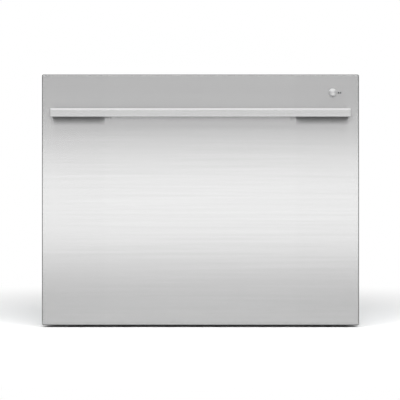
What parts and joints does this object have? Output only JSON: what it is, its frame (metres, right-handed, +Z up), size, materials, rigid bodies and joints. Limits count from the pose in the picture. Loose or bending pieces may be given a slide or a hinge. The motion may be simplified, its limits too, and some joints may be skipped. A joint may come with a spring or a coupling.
{
  "type": "dishwasher drawer",
  "caption": "Built-in dishwasher drawer: brushed front with bar handle and round button, sliding wash tub with racks and spray arm, lid that lowers onto the tub, sheet cabinet.",
  "frame": {"origin": "middle of the footprint on the surface that the pads stand on", "axes": "+Z up, the front panel faces -Y, +X to the right as seen from the front"},
  "size_m": [0.598, 0.615, 0.477],
  "materials": {
    "brushed_panel": "horizontally brushed stainless steel, fine grain",
    "handle_steel": "brushed along its length, eased edges",
    "button_steel": "satin turned metal",
    "galvanised": "galvanised sheet with fine spangle",
    "runner_steel": "zinc-plated, lightly greased",
    "wash_steel": "satin stainless sheet",
    "screw_steel": "zinc-plated",
    "tub_plastic": "moulded filled polypropylene, satin",
    "grey_plastic": "moulded, fine texture",
    "dark_plastic": "moulded, fine texture",
    "white_nylon": "moulded nylon",
    "seal_rubber": "extruded gasket rubber",
    "coated_wire": "nylon-coated steel wire, satin",
    "lens_plastic": "smoked clear plastic"
  },
  "bodies": {
    "cabinet": {"base_pan": "galvanised", "left_side_panel": "galvanised", "right_side_panel": "galvanised", "rear_panel": "galvanised", "top_panel": "galvanised", "support_pads": "dark_plastic", "cabinet_screws": "screw_steel", "front_seal": "seal_rubber", "outer_runner_left": "runner_steel", "outer_runner_right": "runner_steel", "lid_actuator_left": "dark_plastic", "lid_actuator_right": "dark_plastic", "water_inlet_valve": "white_nylon", "drain_outlet": "grey_plastic", "power_gland": "dark_plastic"},
    "middle_left": {"middle_runner_left": "runner_steel"},
    "middle_right": {"middle_runner_right": "runner_steel"},
    "outer_cages": {"outer_ball_cages": "runner_steel"},
    "inner_cages": {"inner_ball_cages": "runner_steel"},
    "lid": {"lid_shell": "grey_plastic", "lid_seal": "seal_rubber", "lid_yokes": "grey_plastic"},
    "pinion_left": {"lid_pinion_left": "white_nylon"},
    "pinion_right": {"lid_pinion_right": "white_nylon"},
    "drawer": {"front_panel": "brushed_panel", "door_frame": "grey_plastic", "handle_bar": "handle_steel", "handle_posts": "handle_steel", "handle_screws": "screw_steel", "button_bezel": "button_steel", "button_dome": "seal_rubber", "status_lenses": "lens_plastic", "control_module": "dark_plastic", "tub": "tub_plastic", "inner_runner_left": "runner_steel", "inner_runner_right": "runner_steel", "motor_housing": "dark_plastic", "heater_plate": "wash_steel", "drain_pump": "dark_plastic", "fan_housing": "grey_plastic", "filter_plate": "wash_steel", "spray_spindle": "grey_plastic", "base_rack": "coated_wire", "rack_clips": "grey_plastic", "rack_end_walls": "coated_wire", "rack_side_walls": "coated_wire", "cutlery_basket": "grey_plastic", "basket_dividers": "grey_plastic", "dispenser_body": "grey_plastic"},
    "button": {"start_button": "button_steel"},
    "impeller": {"pump_impeller": "white_nylon"},
    "fan": {"fan_wheel": "white_nylon"},
    "filter_cup": {"drain_filter": "grey_plastic"},
    "spray": {"spray_arm": "grey_plastic"},
    "tines_left": {"tine_row_left": "coated_wire"},
    "tines_right": {"tine_row_right": "coated_wire"},
    "cups_left": {"cup_rack_left": "coated_wire"},
    "cups_right": {"cup_rack_right": "coated_wire"},
    "flap": {"dispenser_door": "white_nylon"},
    "rinse_cap": {"rinse_aid_cap": "white_nylon"}
  },
  "joints": [
    {"name": "drawer_slide", "type": "slide", "parent": "cabinet", "child": "drawer", "axis": [0, -1, 0], "range_m": [0, 0.5]},
    {"name": "middle_left_slide", "type": "slide", "parent": "cabinet", "child": "middle_left", "axis": [0, -1, 0], "range_m": [0, 0.25]},
    {"name": "middle_right_slide", "type": "slide", "parent": "cabinet", "child": "middle_right", "axis": [0, -1, 0], "range_m": [0, 0.25]},
    {"name": "outer_cages_slide", "type": "slide", "parent": "cabinet", "child": "outer_cages", "axis": [0, -1, 0], "range_m": [0, 0.125]},
    {"name": "inner_cages_slide", "type": "slide", "parent": "cabinet", "child": "inner_cages", "axis": [0, -1, 0], "range_m": [0, 0.375]},
    {"name": "lid_lift", "type": "slide", "parent": "cabinet", "child": "lid", "axis": [0, 0, 1], "range_m": [-0.012, 0]},
    {"name": "pinion_left_spin", "type": "hinge", "parent": "cabinet", "child": "pinion_left", "pos_m": [-0.284, 0.0136, 0.41], "axis": [1, 0, 0], "range_deg": [0, 51]},
    {"name": "pinion_right_spin", "type": "hinge", "parent": "cabinet", "child": "pinion_right", "pos_m": [0.284, 0.0136, 0.41], "axis": [1, 0, 0], "range_deg": [0, 51]},
    {"name": "button_press", "type": "slide", "parent": "drawer", "child": "button", "axis": [0, 1, 0], "range_m": [0, 0.001], "stiffness_N_per_m": 1500, "deforming": ["button_dome"]},
    {"name": "impeller_spin", "type": "hinge", "parent": "drawer", "child": "impeller", "pos_m": [0, 0.006, 0.06], "axis": [0, 0, 1], "continuous": true},
    {"name": "fan_spin", "type": "hinge", "parent": "drawer", "child": "fan", "pos_m": [0.1, -0.172, 0.06], "axis": [0, 0, 1], "continuous": true},
    {"name": "filter_turn", "type": "hinge", "parent": "drawer", "child": "filter_cup", "pos_m": [0, 0.069, 0.09], "axis": [0, 0, 1], "range_deg": [0, 90]},
    {"name": "spray_spin", "type": "hinge", "parent": "drawer", "child": "spray", "pos_m": [0, 0.006, 0.114], "axis": [0, 0, 1], "continuous": true},
    {"name": "tines_left_fold", "type": "hinge", "parent": "drawer", "child": "tines_left", "pos_m": [-0.06, 0.035, 0.14], "axis": [0, -1, 0], "range_deg": [0, 85]},
    {"name": "tines_right_fold", "type": "hinge", "parent": "drawer", "child": "tines_right", "pos_m": [0.06, 0.035, 0.14], "axis": [0, 1, 0], "range_deg": [0, 85]},
    {"name": "cups_left_fold", "type": "hinge", "parent": "drawer", "child": "cups_left", "pos_m": [-0.246, 0.005, 0.3], "axis": [0, -1, 0], "range_deg": [0, 80]},
    {"name": "cups_right_fold", "type": "hinge", "parent": "drawer", "child": "cups_right", "pos_m": [0.246, 0.005, 0.3], "axis": [0, 1, 0], "range_deg": [0, 80]},
    {"name": "flap_swing", "type": "hinge", "parent": "drawer", "child": "flap", "pos_m": [-0.035, -0.1898, 0.338], "axis": [-1, 0, 0], "range_deg": [0, 95]},
    {"name": "rinse_cap_turn", "type": "hinge", "parent": "drawer", "child": "rinse_cap", "pos_m": [0.044, -0.195, 0.366], "axis": [0, 1, 0], "range_deg": [0, 90]}
  ],
  "couplings": [
    {"joint": "middle_left_slide", "follows": "drawer_slide", "ratio": 0.5},
    {"joint": "middle_right_slide", "follows": "drawer_slide", "ratio": 0.5},
    {"joint": "outer_cages_slide", "follows": "drawer_slide", "ratio": 0.25},
    {"joint": "inner_cages_slide", "follows": "drawer_slide", "ratio": 0.75},
    {"joint": "pinion_left_spin", "follows": "lid_lift", "rad_per_m": -74.074},
    {"joint": "pinion_right_spin", "follows": "lid_lift", "rad_per_m": -74.074}
  ]
}
